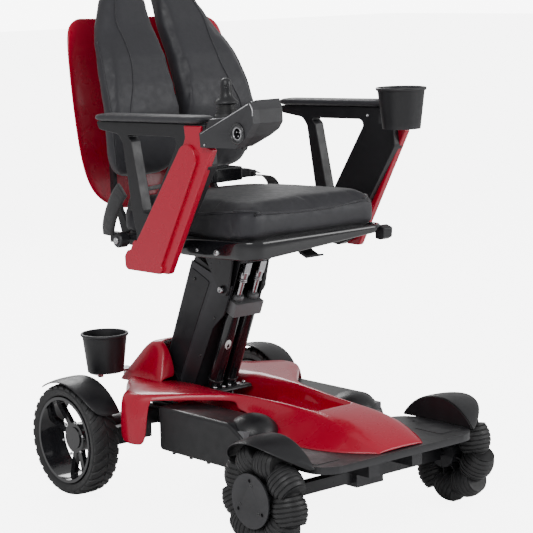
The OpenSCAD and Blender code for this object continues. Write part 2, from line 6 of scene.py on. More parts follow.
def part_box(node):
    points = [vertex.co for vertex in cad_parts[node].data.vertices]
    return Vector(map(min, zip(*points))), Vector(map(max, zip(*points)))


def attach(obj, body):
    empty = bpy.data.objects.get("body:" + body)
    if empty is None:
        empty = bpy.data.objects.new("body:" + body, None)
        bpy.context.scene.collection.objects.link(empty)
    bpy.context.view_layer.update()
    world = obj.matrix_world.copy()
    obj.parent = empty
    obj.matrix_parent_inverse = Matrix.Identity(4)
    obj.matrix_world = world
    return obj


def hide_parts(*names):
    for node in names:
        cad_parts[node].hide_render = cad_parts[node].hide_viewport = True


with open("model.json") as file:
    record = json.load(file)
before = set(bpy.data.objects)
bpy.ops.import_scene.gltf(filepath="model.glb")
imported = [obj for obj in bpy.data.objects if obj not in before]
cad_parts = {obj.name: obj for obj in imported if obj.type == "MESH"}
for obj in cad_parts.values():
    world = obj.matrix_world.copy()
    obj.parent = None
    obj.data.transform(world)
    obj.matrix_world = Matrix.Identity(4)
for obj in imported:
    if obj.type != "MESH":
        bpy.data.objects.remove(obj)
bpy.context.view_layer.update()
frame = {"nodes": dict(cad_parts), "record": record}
nodes = frame["nodes"]

# ------------------------------------------------------------------ materials
def material(name, color, rough=0.5, metal=0.0, coat=0.0, coat_rough=0.05, grain=None,
             bump=0.0, bump_scale=300.0, vary=0.06, vary_scale=6.0, sheen=0.0, edge=0.0,
             rough_vary=0.08):
    m = bpy.data.materials.new(name)
    m.use_nodes = True
    nt = m.node_tree
    b = nt.nodes["Principled BSDF"]
    b.inputs["Metallic"].default_value = metal
    b.inputs["IOR"].default_value = 1.5
    b.inputs["Coat Weight"].default_value = coat
    b.inputs["Coat Roughness"].default_value = coat_rough
    b.inputs["Sheen Weight"].default_value = sheen
    tc = nt.nodes.new("ShaderNodeTexCoord")
    big = nt.nodes.new("ShaderNodeTexNoise")
    big.inputs["Scale"].default_value = vary_scale
    big.inputs["Detail"].default_value = 5.0
    nt.links.new(tc.outputs["Object"], big.inputs["Vector"])
    ramp = nt.nodes.new("ShaderNodeMapRange")
    ramp.inputs["From Min"].default_value = 0.3
    ramp.inputs["From Max"].default_value = 0.7
    ramp.inputs["To Min"].default_value = 1.0 - vary
    ramp.inputs["To Max"].default_value = 1.0 + vary
    nt.links.new(big.outputs["Fac"], ramp.inputs["Value"])
    mul = nt.nodes.new("ShaderNodeVectorMath")
    mul.operation = "SCALE"
    mul.inputs[0].default_value = color
    nt.links.new(ramp.outputs["Result"], mul.inputs["Scale"])
    col = mul.outputs["Vector"]
    # edge: painted highlight, the base colour is made lighter on convex edges found by pointiness
    if edge > 0.0:
        geo = nt.nodes.new("ShaderNodeNewGeometry")
        edge_highlight_mask = nt.nodes.new("ShaderNodeMapRange")
        edge_highlight_mask.inputs["From Min"].default_value = 0.52
        edge_highlight_mask.inputs["From Max"].default_value = 0.62
        nt.links.new(geo.outputs["Pointiness"], edge_highlight_mask.inputs["Value"])
        add = nt.nodes.new("ShaderNodeMix")
        add.data_type = "RGBA"
        add.inputs["B"].default_value = tuple(min(1.0, c * (1 + edge) + 0.02 * edge) for c in color) + (1,)
        nt.links.new(edge_highlight_mask.outputs["Result"], add.inputs["Factor"])
        nt.links.new(col, add.inputs["A"])
        col = add.outputs["Result"]
    nt.links.new(col, b.inputs["Base Color"])
    rr = nt.nodes.new("ShaderNodeMapRange")
    rr.inputs["From Min"].default_value = 0.3
    rr.inputs["From Max"].default_value = 0.7
    rr.inputs["To Min"].default_value = max(0.02, rough - rough_vary)
    rr.inputs["To Max"].default_value = min(1.0, rough + rough_vary)
    fine = nt.nodes.new("ShaderNodeTexNoise")
    fine.inputs["Scale"].default_value = vary_scale * 7
    fine.inputs["Detail"].default_value = 3.0
    nt.links.new(tc.outputs["Object"], fine.inputs["Vector"])
    nt.links.new(fine.outputs["Fac"], rr.inputs["Value"])
    nt.links.new(rr.outputs["Result"], b.inputs["Roughness"])
    if bump > 0.0:
        bp = nt.nodes.new("ShaderNodeBump")
        bp.inputs["Strength"].default_value = bump
        bp.inputs["Distance"].default_value = 0.001
        if grain == "leather":
            t = nt.nodes.new("ShaderNodeTexVoronoi")
            t.feature = "DISTANCE_TO_EDGE"
            t.inputs["Scale"].default_value = bump_scale
            out = t.outputs["Distance"]
        elif grain == "weave":
            t = nt.nodes.new("ShaderNodeTexWave")
            t.inputs["Scale"].default_value = bump_scale
            t.inputs["Distortion"].default_value = 0.6
            t2 = nt.nodes.new("ShaderNodeTexWave")
            t2.bands_direction = "Z"
            t2.inputs["Scale"].default_value = bump_scale
            nt.links.new(tc.outputs["Object"], t2.inputs["Vector"])
            mx = nt.nodes.new("ShaderNodeMath")
            mx.operation = "MAXIMUM"
            nt.links.new(t.outputs["Fac"], mx.inputs[0])
            nt.links.new(t2.outputs["Fac"], mx.inputs[1])
            out = mx.outputs[0]
        else:
            t = nt.nodes.new("ShaderNodeTexNoise")
            t.inputs["Scale"].default_value = bump_scale
            t.inputs["Detail"].default_value = 4.0
            out = t.outputs["Fac"]
        nt.links.new(tc.outputs["Object"], t.inputs["Vector"])
        nt.links.new(out, bp.inputs["Height"])
        nt.links.new(bp.outputs["Normal"], b.inputs["Normal"])
    return m

# the edge values below paint highlights on convex edges into the base colour
M = {
    "red_gloss": material("red_gloss", (0.47, 0.0, 0.025), 0.28, 0.0, 0.3, 0.0, vary=0.0,
                          vary_scale=3, bump=0.015, bump_scale=60, rough_vary=0.04),
    "black_satin": material("black_satin", (0.011, 0.011, 0.013), 0.4, bump=0.16, bump_scale=900,
                            vary=0.12, edge=0.8),
    "black_gloss": material("black_gloss", (0.007, 0.007, 0.009), 0.14, 0.0, 0.5, 0.05, vary=0.1,
                            edge=0.4, rough_vary=0.05),
    "frame_black": material("frame_black", (0.01, 0.01, 0.012), 0.34, 0.2, bump=0.1, bump_scale=700,
                            vary=0.12, edge=1.0),
    "mast_grey": material("mast_grey", (0.02, 0.02, 0.024), 0.36, 0.15, bump=0.08, bump_scale=600,
                          vary=0.1, edge=0.8),
    "collar_grey": material("collar_grey", (0.12, 0.12, 0.125), 0.5, 0.5, bump=0.1, bump_scale=500,
                            vary=0.1, edge=0.5),
    "steel": material("steel", (0.62, 0.62, 0.64), 0.28, 1.0, bump=0.05, bump_scale=400, vary=0.08),
    "rubber_black": material("rubber_black", (0.013, 0.013, 0.014), 0.48, bump=0.2, bump_scale=500,
                             vary=0.2, vary_scale=20, edge=0.8),
    "tyre_black": material("tyre_black", (0.012, 0.012, 0.013), 0.5, bump=0.25, bump_scale=500,
                           vary=0.2, vary_scale=20, edge=0.8),
    "leatherette": material("leatherette", (0.02, 0.02, 0.025), 0.52, bump=0.2, bump_scale=520,
                            grain="leather", vary=0.1, vary_scale=9, sheen=0.15),
    "webbing": material("webbing", (0.016, 0.016, 0.018), 0.7, bump=0.5, bump_scale=260, grain="weave",
                        vary=0.15, sheen=0.3),
    "battery_grey": material("battery_grey", (0.16, 0.16, 0.17), 0.5, bump=0.1, bump_scale=500, vary=0.1),
}

M["label_white"] = material("label_white", (0.8, 0.8, 0.8), 0.4, bump=0.03)

slot_of = {p["node"]: p["material_slot"] for p in frame["record"]["subparts"]}

def paint(obj, slot):
    obj.data.materials.clear()
    obj.data.materials.append(M[slot])

def soften(obj, width=0.0015, segments=3, angle=35):
    for p in obj.data.polygons:
        p.use_smooth = True
    b = obj.modifiers.new("edge", "BEVEL")
    b.width = width
    b.segments = segments
    b.limit_method = "ANGLE"
    b.angle_limit = math.radians(angle)
    b.harden_normals = True
    w = obj.modifiers.new("wn", "WEIGHTED_NORMAL")
    w.keep_sharp = True

BEVEL = {"chassis_frame": 0.002, "battery_case_right": 0.006, "battery_case_left": 0.006,
         "footplate": 0.004, "lower_mast": 0.0015, "armrest_frame_right": 0.004,
         "armrest_frame_left": 0.004, "armrest_cover_right": 0.005, "armrest_cover_left": 0.005,
         "armrest_pad_right": 0.004, "armrest_pad_left": 0.004, "control_pod": 0.003,
         "joystick_gimbal": 0, "joystick_stick": 0.0012}
for n, o in nodes.items():
    paint(o, slot_of[n])
    w = BEVEL.get(n, 0.0012)
    if w:
        soften(o, w)

# ------------------------------------------------------------------ modelling helpers (millimetres)
def finish_piece(obj, slot, body, *replaced):
    bpy.context.scene.collection.objects.link(obj)
    paint(obj, slot)
    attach(obj, body)
    if replaced:
        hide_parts(*replaced)
    return obj

def mesh_object(name, verts, faces):
    me = bpy.data.meshes.new(name)
    me.from_pydata([(x * 0.001, y * 0.001, z * 0.001) for x, y, z in verts], [], faces)
    me.update()
    for p in me.polygons:
        p.use_smooth = True
    return bpy.data.objects.new(name, me)

def outward(obj):
    bm = bmesh.new()
    bm.from_mesh(obj.data)
    bmesh.ops.recalc_face_normals(bm, faces=bm.faces)
    bm.to_mesh(obj.data)
    bm.free()
    return obj

def sheet(name, rows, thickness, slot, body, *replaced, mirror=True, level=2, sharp=()):
    verts, index, faces = [], {}, []
    for r, row in enumerate(rows):
        for c, p in enumerate(row):
            if p is not None:
                index[r, c] = len(verts)
                verts.append(p)
    for r in range(len(rows) - 1):
        for c in range(len(rows[r]) - 1):
            ring = [(r, c), (r + 1, c), (r + 1, c + 1), (r, c + 1)]
            if all(k in index for k in ring):
                faces.append([index[k] for k in ring])
    obj = mesh_object(name, verts, faces)
    if sharp:
        crease = obj.data.attributes.new("crease_edge", "FLOAT", "EDGE")
        column = {v: k[1] for k, v in index.items()}
        for e in obj.data.edges:
            a, b = (column[v] for v in e.vertices)
            if a == b and a in dict(sharp):
                crease.data[e.index].value = dict(sharp)[a]
    if mirror:
        m = obj.modifiers.new("mirror", "MIRROR")
        m.use_clip = True
        m.merge_threshold = 0.0001
    s = obj.modifiers.new("wall", "SOLIDIFY")
    s.thickness = thickness * 0.001
    s.offset = -1
    b = obj.modifiers.new("round", "SUBSURF")
    b.levels = b.render_levels = level
    return finish_piece(obj, slot, body, *replaced)

def loft_mesh(name, rings):
    """Mesh object through rings of equal length, closed at both ends."""
    n = len(rings[0])
    verts = [p for ring in rings for p in ring]
    faces = [[r * n + i, r * n + (i + 1) % n, (r + 1) * n + (i + 1) % n, (r + 1) * n + i]
             for r in range(len(rings) - 1) for i in range(n)]
    faces += [list(range(n))[::-1], [(len(rings) - 1) * n + i for i in range(n)]]
    return mesh_object(name, verts, faces)

def closed_loft(name, rings, slot, body, *replaced, level=1):
    obj = outward(loft_mesh(name, rings))
    if level:
        b = obj.modifiers.new("round", "SUBSURF")
        b.levels = b.render_levels = level
    return finish_piece(obj, slot, body, *replaced)

def turned_mesh(name, profile, place, steps=48):
    """Closed ring profile of (radius, along) points turned about the Z axis, then put in place."""
    n = len(profile)
    verts = []
    for i in range(steps):
        a = 2 * math.pi * i / steps
        for r, h in profile:
            v = place @ Vector((r * math.cos(a), r * math.sin(a), h))
            verts.append(tuple(v))
    faces = [[i * n + j, i * n + (j + 1) % n, ((i + 1) % steps) * n + (j + 1) % n, ((i + 1) % steps) * n + j]
             for i in range(steps) for j in range(n)]
    obj = mesh_object(name, verts, faces)
    bm = bmesh.new()
    bm.from_mesh(obj.data)
    bmesh.ops.remove_doubles(bm, verts=bm.verts, dist=0.00001)
    bmesh.ops.recalc_face_normals(bm, faces=bm.faces)
    bm.to_mesh(obj.data)
    bm.free()
    return obj

def spun(name, profile, place, slot, body, *replaced, steps=48, bevel=0.0):
    obj = turned_mesh(name, profile, place, steps)
    if bevel:
        soften(obj, bevel * 0.001, 2, 30)
    return finish_piece(obj, slot, body, *replaced)

def facing(direction, at):
    """Matrix that turns the Z axis to a direction and moves to a point."""
    q = Vector(direction).normalized().to_track_quat("Z", "Y")
    return Matrix.Translation(Vector(at)) @ q.to_matrix().to_4x4()

def filleted(points, radius, steps=6):
    out, n = [], len(points)
    for i in range(n):
        rad = radius[i] if isinstance(radius, (list, tuple)) else radius
        a, b, c = (Vector(points[(i + k) % n]) for k in (-1, 0, 1))
        u, v = (a - b), (c - b)
        half = u.angle(v) / 2
        cut = min(rad / math.tan(half), 0.48 * u.length, 0.48 * v.length)
        r = cut * math.tan(half)
        centre = b + (u.normalized() + v.normalized()).normalized() * (r / math.sin(half))
        s, e = b + u.normalized() * cut - centre, b + v.normalized() * cut - centre
        turn = s.angle_signed(e)
        for k in range(steps + 1):
            w = s.copy()
            w.rotate(Matrix.Rotation(-turn * k / steps, 2))
            out.append(tuple(centre + w))
    return out

def prism(name, verts):
    """Closed solid between two equal outlines, given one after the other."""
    n = len(verts) // 2
    faces = [[i, (i + 1) % n, n + (i + 1) % n, n + i] for i in range(n)]
    faces += [list(range(n)), list(range(n, 2 * n))]
    return outward(mesh_object(name, verts, faces))

def plate(name, outline, x0, x1, slot, body, *replaced, bevel=2.0, to=None):
    """Outline in Y and Z, thickened along X, with rounded edges."""
    verts = [(x, y, z) for x in (x0, x1) for y, z in outline]
    if to is not None:
        verts = [to(v) for v in verts]
    obj = prism(name, verts)
    soften(obj, bevel * 0.001, 4, 30)
    return finish_piece(obj, slot, body, *replaced)

def tube(name, path, radius, slot, body, sides=10):
    pts = [Vector(p) for p in path]
    rings, n, normal = [], len(pts), None
    for i, p in enumerate(pts):
        t = (pts[min(i + 1, n - 1)] - pts[max(i - 1, 0)]).normalized()
        if normal is None:
            normal = t.orthogonal().normalized()
        normal = (normal - t * normal.dot(t)).normalized()
        other = t.cross(normal)
        rings.append([tuple(p + radius * (math.cos(2 * math.pi * k / sides) * normal
                      + math.sin(2 * math.pi * k / sides) * other)) for k in range(sides)])
    return finish_piece(outward(loft_mesh(name, rings)), slot, body)

def smooth_path(points, per=8):
    out, p = [], [Vector(q) for q in points]
    for i in range(len(p) - 1):
        a, b, c, d = p[max(i - 1, 0)], p[i], p[i + 1], p[min(i + 2, len(p) - 1)]
        for k in range(per):
            t = k / per
            out.append(0.5 * ((2 * b) + (c - a) * t + (2 * a - 5 * b + 4 * c - d) * t * t
                       + (3 * b - a - 3 * c + d) * t ** 3))
    return [tuple(q) for q in out + [p[-1]]]

def bolt(name, at, direction, radius, height, slot, body, socket=True):
    r, h = radius, height
    profile = [(0.01, 0), (r, 0), (r, h * 0.6), (r * 0.82, h)]
    profile += [(r * 0.5, h), (r * 0.45, h * 0.45), (0.01, h * 0.45)] if socket else [(0.01, h)]
    return spun(name, profile, facing(direction, at), slot, body, steps=20)

SIDES = (("right", -1), ("left", 1))

# ------------------------------------------------------------------ red body shell
def body_shell():
    # one row per station along Y: floor edge, rim, ridge, band, lower edge as (x, z)
    wall, floor = "wall", "floor"
    stations = [
        (390, None, (40, 186), (84, 186), (90, 186), (92, 186), (94, 186)),
        (388, None, (40, 236), (78, 238), (88, 234), (92, 222), (94, 188)),
        (372, None, (44, 252), (80, 252), (98, 248), (104, 236), (106, 186)),
        (340, None, (50, 254), (84, 254), (118, 252), (126, 243), (128, 186)),
        (312, None, (50, 254), (84, 254), (146, 254), (156, 245), (158, 188)),
        (304, wall, (68, 199), (69, 250), (152, 254), (162, 246), (164, 190)),
        (240, wall, (68, 199), (69, 252), (190, 257), (202, 248), (204, 196)),
        (212, wall, (68, 199), (69, 254), (222, 258), (238, 248), (240, 205)),
        (200, wall, (68, 199), (69, 254), (240, 258), (255, 247), (257, 176)),
        (190, wall, (68, 199), (69, 255), (244, 258), (262, 247), (265, 143)),
        (160, wall, (68, 199), (70, 256), (242, 259), (263, 247), (266, 140)),
        (138, wall, (68, 199), (72, 257), (232, 259), (252, 247), (258, 139)),
        (122, wall, (70, 199), (76, 258), (221, 259), (236, 247), (243, 139)),
        (112, wall, (74, 199), (78, 258), (212, 259), (224, 247), None),
        (84, wall, (78, 199), (81, 258), (188, 259), (196, 246), None),
        (60, wall, (80, 199), (83, 258), (165, 260), (173, 246), None),
        (40, floor, (81, 199), (84, 259), (147, 260), (154, 246), None),
        (4, floor, (80, 199), (84, 259), (114, 260), (121, 246), None),
        (-30, floor, (76, 199), (81, 260), (91, 260), (97, 246), (103, 233)),
        (-60, floor, (72, 199), (76, 259), (83, 259), (90, 246), (108, 231)),
        (-100, floor, (66, 199), (70, 258), (77, 258), (86, 243), (114, 228)),
        (-140, floor, (59, 199), (64, 257), (71, 256), (84, 238), (120, 212)),
        (-162, floor, (56, 199), (61, 256), (68, 255), (84, 234), (126, 199)),
        (-200, floor, (54, 199), (58, 254), (65, 253), (90, 228), (140, 195)),
        (-232, floor, (52, 200), (56, 252), (63, 251), (94, 226), (146, 194)),
        (-246, "nose", (50, 252), (56, 252), (63, 250), (95, 225), (147, 194)),
        (-256, "nose", (44, 252), (54, 251), (63, 249), (96, 225), (147, 194)),
        (-300, "nose", (42, 249), (56, 248), (67, 245), (100, 220), (146, 194)),
        (-340, "nose", (42, 243), (60, 241), (73, 237), (104, 214), (138, 194)),
        (-380, "nose", (42, 234), (62, 231), (77, 226), (98, 208), (122, 194)),
        (-412, "nose", (40, 223), (60, 220), (76, 214), (88, 203), (102, 194)),
        (-438, "nose", (38, 211), (56, 208), (69, 204), (76, 199), (82, 194)),
        (-455, "nose", (36, 201), (52, 200), (62, 198), (65, 196), (68, 194)),
        (-458, "nose", (36, 195), (52, 195), (61, 194.5), (63, 194.5), (65, 194)),
    ]
    rows = []
    for y, kind, inner, rim, ridge, band, low in stations:
        if kind == wall:
            centre = None
        elif kind == floor:
            centre = (0, y, inner[1])
        else:
            centre = (0, y, inner[1] + 1.0)
        rows.append([centre] + [None if p is None else (p[0], y, p[1])
                                for p in (inner, rim, ridge, band, low)])
    sheet("red_body_shell", rows, 4, "red_gloss", "base", "body_shell",
          sharp=((2, 0.75), (3, 0.55), (1, 0.3)))

def mast_fairing():
    # hump that wraps the back of the mast, open at the front for the mast
    top = [(233, 262), (238, 288), (248, 312), (262, 331), (278, 340), (306, 337), (334, 318),
           (360, 286), (378, 258), (386, 240)]
    rows = []
    for y, z in top:
        lift = (z - 240) / 100.0
        centre = None if y < 270 else (0, y, z)
        inner = (70, y, z) if y < 340 else (70 - (y - 340) * 0.4, y, z)
        rows.append([centre, inner, (78 + 2 * lift, y, z - 2), (111 - 24 * lift, y, 240 + 78 * lift),
                     (110 - 4 * lift, y, 240 + 40 * lift), (112, y, 238)])
    sheet("red_mast_fairing", rows, 4, "red_gloss", "base", sharp=((1, 0.5),))

# ------------------------------------------------------------------ soft pieces
def evaluated(obj):
    deps = bpy.context.evaluated_depsgraph_get()
    return bpy.data.meshes.new_from_object(obj.evaluated_get(deps))

CLOTH_FRAMES = 20
VOXEL_M = 0.006

def blown(obj, cap, shrink, relax=6):
    """Remesh, swell by cloth pressure with a capped movement, and keep the result."""
    scene = bpy.context.scene
    scene.collection.objects.link(obj)
    box = [Vector(c) for c in obj.bound_box]
    centre = sum(box, Vector()) / 8
    for v in obj.data.vertices:
        v.co = centre + (v.co - centre) * shrink
    r = obj.modifiers.new("remesh", "REMESH")
    r.mode = "VOXEL"
    r.voxel_size = VOXEL_M
    s = obj.modifiers.new("relax", "SMOOTH")
    s.factor = 0.5
    s.iterations = relax
    bpy.context.view_layer.update()
    me = evaluated(obj)
    obj.modifiers.clear()
    obj.data = me
    start = [v.co.copy() for v in me.vertices]
    c = obj.modifiers.new("cloth", "CLOTH")
    c.settings.use_pressure = True
    c.settings.uniform_pressure_force = 4.0
    c.settings.effector_weights.gravity = 0
    c.settings.quality = 4
    c.point_cache.frame_start = 1
    c.point_cache.frame_end = CLOTH_FRAMES
    for f in range(1, CLOTH_FRAMES + 1):
        scene.frame_set(f)
    me = evaluated(obj)
    obj.modifiers.clear()
    for v, p in zip(me.vertices, start):
        d = v.co - p
        if d.length > cap * 0.001:
            v.co = p + d.normalized() * cap * 0.001
    obj.data = me
    scene.frame_set(1)
    for p in obj.data.polygons:
        p.use_smooth = True
    t = obj.modifiers.new("even", "SMOOTH")
    t.factor = 0.5
    t.iterations = 3
    obj.data = evaluated(obj)
    obj.modifiers.clear()
    scene.collection.objects.unlink(obj)
    b = obj.modifiers.new("round", "SUBSURF")
    b.levels = b.render_levels = 1
    return obj

def seam(name, soft, points, away, radius, slot, body, per=10, sunk=0.3):
    """A welt laid on a soft piece: each point is dropped onto its surface along a direction."""
    tree = BVHTree.FromObject(soft, bpy.context.evaluated_depsgraph_get())
    path = []
    for p in smooth_path(points, per):
        hit = tree.ray_cast(Vector(p) * 0.001 - Vector(away) * 0.3, Vector(away))
        if hit[0] is not None:
            path.append(tuple(hit[0] * 1000 + hit[1] * radius * (1 - 2 * sunk)))
    return tube(name, path, radius, slot, body, sides=8)

def seat_cushion():
    obj = bpy.data.objects.new("cushion", nodes["seat_cushion"].data.copy())
    soft = blown(obj, 13, shrink=1.0)
    half_wide, half_deep, middle_y = 0.205, 0.23, 0.03
    widen, reach, crown, crown_from = 1.05, 0.018, 0.010, 0.66
    for v in soft.data.vertices:
        x, y = v.co.x / half_wide, (v.co.y - middle_y) / half_deep
        v.co.x *= widen
        v.co.y -= reach * max(0.0, -y)
        if v.co.z > crown_from:
            v.co.z += crown * max(0.0, 1 - x * x) * max(0.0, 1 - y * y)
    finish_piece(soft, "leatherette", "seat", "seat_cushion")
    lo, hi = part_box("seat_cushion")
    w, y0, y1 = hi[0] * 1000 - 8, lo[1] * 1000, hi[1] * 1000 - 20
    ring = filleted([(-w, y0), (w, y0), (w, y1), (-w, y1)], 45, 8)
    path = [(x, y, hi[2] * 1000) for x, y in ring]
    seam("cushion_top_welt", soft, path + [path[0]], (0, 0, -1), 2.6, "leatherette", "seat", per=3)

LOBE_DEPTH = 58.0

def pad_loft(side):
    heights = [740, 744, 754, 770, 795, 830, 870, 893, 920, 950, 985, 1018, 1050, 1085, 1115, 1148,
               1168, 1182, 1190]
    def along(table, z):
        for (z0, v0), (z1, v1) in zip(table, table[1:]):
            if z <= z1:
                t = max(0.0, (z - z0) / (z1 - z0))
                return v0 + (v1 - v0) * t
        return table[-1][1]
    front = [(738, 264), (780, 260), (830, 252), (893, 249), (950, 264), (1018, 292), (1085, 332),
             (1148, 361), (1192, 380)]
    outer = [(738, 148), (744, 176), (756, 194), (786, 212), (836, 222), (886, 225), (944, 222),
             (1000, 213), (1056, 195), (1108, 166), (1150, 138), (1178, 108), (1192, 84)]
    inner = [(738, 74), (746, 40), (770, 14), (830, 5), (950, 4), (1020, 5), (1090, 10), (1150, 20),
             (1184, 46), (1192, 66)]
    rings = []
    for z in heights:
        x0, x1, y0 = along(inner, z), along(outer, z), along(front, z)
        depth = LOBE_DEPTH
        if z < 800:
            depth -= 12 * ((800 - z) / 60) ** 2
        end = min((z - 736) / 16, (1194 - z) / 16, 1.0)
        depth *= 0.45 + 0.55 * math.sqrt(max(end, 0.02))
        xc, yc, a, b = (x0 + x1) / 2, y0 + 27, (x1 - x0) / 2, depth / 2
        ring = []
        for k in range(28):
            t = 2 * math.pi * k / 28
            tight = (0.3, 0.45) if math.cos(t) < 0 else (0.6, 0.72)
            cx = math.copysign(abs(math.cos(t)) ** tight[0], math.cos(t))
            sy = math.copysign(abs(math.sin(t)) ** tight[1], math.sin(t))
            x = xc + a * cx
            wrap = 12.0 * max(0.0, (x - 120) / 105) ** 2
            ring.append((side * x, yc + b * sy - wrap, z))
        rings.append(ring)
    return rings

def back_pads():
    for name, side in SIDES:
        obj = outward(loft_mesh("back_lobe_" + name, pad_loft(side)))
        soft = blown(obj, 6, shrink=0.99, relax=3)
        body = "pad_" + name
        finish_piece(soft, "leatherette", body, "back_pad_" + name)
        crease = [(112, 1150), (130, 1100), (128, 1053), (131, 1000), (144, 952), (165, 895), (176, 830),
                  (178, 780)]
        band = [(118, 1168), (146, 1134), (170, 1090), (192, 1036), (205, 972), (212, 898), (208, 830),
                (196, 776)]
        for tag, line, r in (("crease", crease, 1.5), ("side_band", band, 1.7)):
            seam("lobe_%s_%s" % (tag, name), soft, [(side * x, 300, z) for x, z in line], (0, 1, 0), r,
                 "leatherette", body, sunk=0.28)

def back_shell_piece():
    # thin curved shell, with a rounded edge and softly rolled rim
    lean, rows = math.radians(8), []
    curve, foot_y, foot_z = 520, 322, 640
    def put(x, z):
        y = math.sqrt(curve ** 2 - x * x) - 461
        return (x, foot_y + y * math.cos(lean) + z * math.sin(lean),
                foot_z + z * math.cos(lean) - y * math.sin(lean))
    edge = [(22, 92), (34, 150), (66, 201), (120, 228), (200, 238), (300, 240), (400, 236), (440, 229),
            (462, 214), (474, 186), (476, 172)]
    for z, half in edge:
        rows.append([put(half * k / 8, z) for k in range(9)])
    rows = rows[::-1]
    sheet("red_back_shell", rows, 6, "red_gloss", "back", "back_shell", level=2)

# ------------------------------------------------------------------ wheels
REAR_HUB = (337, 133)
FRONT_HUB = (-334, 118)

def around(hub, radius, deg):
    """Point at a radius and an angle from straight up, as (y, z)."""
    a = math.radians(deg)
    return (hub[0] - radius * math.sin(a), hub[1] + radius * math.cos(a))

def rear_wheels():
    for name, side in SIDES:
        body = "rear_wheel_" + name
        centre = Vector((side * 289, *REAR_HUB))
        place = facing((side, 0, 0), centre)
        half = 36
        carcass = [(103, -29), (108, -34), (119, -36), (125, -32), (128.5, -22), (130, -10), (130, 10),
                   (128.5, 22), (125, 32), (119, 36), (108, 34), (103, 29)]
        tyre = turned_mesh("tyre_" + name, carcass, place, 96)
        verts = [tuple(v.co * 1000) for v in tyre.data.vertices]
        faces = [list(p.vertices) for p in tyre.data.polygons]
        count = 32
        def crown(u):
            if u < 0.62:
                return 130.2 - 1.2 * (u * half / 22) ** 2
            return 128.9 - 26 * (u - 0.62) ** 1.5
        for i in range(count):
            for flank in (-1, 1):
                start = len(verts)
                stations = 7
                for k in range(stations):
                    u = 0.05 + 0.9 * k / (stations - 1)
                    lead = 2 * math.pi * (i + (0.25 if flank > 0 else 0.0)) / count + 0.20 * u - 0.05
                    wide = 0.055 + 0.02 * u
                    base = crown(u) - 3
                    top = min(crown(u) + 2.6, 132.8)
                    for r, da in ((base, -wide), (top, -wide * 0.8), (top, wide * 0.8), (base, wide)):
                        a = side * (lead + da)
                        p = place @ Vector((r * math.cos(a), r * math.sin(a), flank * u * half))
                        verts.append(tuple(p))
                for k in range(stations - 1):
                    for j in range(4):
                        faces.append([start + k * 4 + j, start + k * 4 + (j + 1) % 4,
                                      start + (k + 1) * 4 + (j + 1) % 4, start + (k + 1) * 4 + j])
                faces.append([start + j for j in range(4)])
                faces.append([start + (stations - 1) * 4 + j for j in range(4)])
        whole = outward(mesh_object("rear_tyre_tread_" + name, verts, faces))
        soften(whole, 0.0006, 2, 40)
        bpy.data.objects.remove(tyre)
        finish_piece(whole, "tyre_black", body, "rear_tyre_" + name)
        for k in range(6):
            a = math.radians(60 * k + 15)
            at = place @ Vector((40 * math.cos(a), 40 * math.sin(a), 4.5))
            bolt("rim_bolt_%s_%d" % (name, k), at, (side, 0, 0), 3.6, 4, "steel", body)

def omni_wheels():
    for name, side in SIDES:
        body = "front_wheel_" + name
        centre = Vector((side * 282, *FRONT_HUB))
        place = facing((side, 0, 0), centre)
        verts, faces = [], []
        count, ribs, steps = 9, 7, 28
        profile = []
        for k in range(ribs):
            s0 = -42 + 72 * k / ribs
            for ds, dr in ((0.6, -2.2), (1.6, 0), (8.2, 0.2), (9.4, -2.2)):
                s = s0 + ds
                r = 38 - 0.0095 * (s + 12) ** 2 + dr
                profile.append((s, r))
        profile = [(-42, 18), (-43.5, 30)] + profile + [(30.5, 17)]
        for i in range(count):
            turn = Matrix.Rotation(2 * math.pi * i / count, 4, "Z")
            seat = place @ turn @ Matrix.Translation((78, 0, 0)) @ Matrix.Rotation(math.radians(12), 4, "Z")
            start, n = len(verts), len(profile)
            for j in range(steps):
                a = 2 * math.pi * j / steps
                for s, r in profile:
                    verts.append(tuple(seat @ Vector((r * math.cos(a), s, r * math.sin(a)))))
            for j in range(steps):
                for m in range(n - 1):
                    a0, a1 = start + j * n, start + ((j + 1) % steps) * n
                    faces.append([a0 + m, a0 + m + 1, a1 + m + 1, a1 + m])
            faces.append([start + j * n for j in range(steps)])
            faces.append([start + j * n + n - 1 for j in range(steps)])
        obj = outward(mesh_object("ribbed_rollers_" + name, verts, faces))
        soften(obj, 0.0005, 2, 35)
        finish_piece(obj, "rubber_black", body, "omni_rollers_" + name)
        for k in range(3):
            a = math.radians(120 * k + 80)
            at = place @ Vector((34 * math.cos(a), 34 * math.sin(a), 39.4))
            bolt("cover_screw_%s_%d" % (name, k), at, (side, 0, 0), 3.6, 1.6, "black_gloss", body)

def front_fenders():
    for name, side in SIDES:
        rows = []
        stations = [(-58, 50), (-48, 70), (-34, 84), (-18, 91), (0, 92), (16, 88), (30, 74), (42, 50),
                    (52, 24), (57, 5)]
        for deg, width in stations:
            row = []
            for k in range(7):
                u = k / 6
                row.append((side * (238 + width * u), *around(FRONT_HUB, 134.0 - 8.0 * u ** 3, deg)))
            rows.append(row[::side])
        sheet("leaf_fender_" + name, rows, 3, "black_satin", "base", "front_fender_" + name, mirror=False,
              level=2)
        wall = [around(FRONT_HUB, 129, -56 + 112 * k / 14) for k in range(15)]
        wall += [(FRONT_HUB[0] - 37, FRONT_HUB[1] + 74), (FRONT_HUB[0] + 37, FRONT_HUB[1] + 74)]
        plate("fender_wall_" + name, wall, side * 238, side * 241, "black_satin", "base", bevel=0.8)

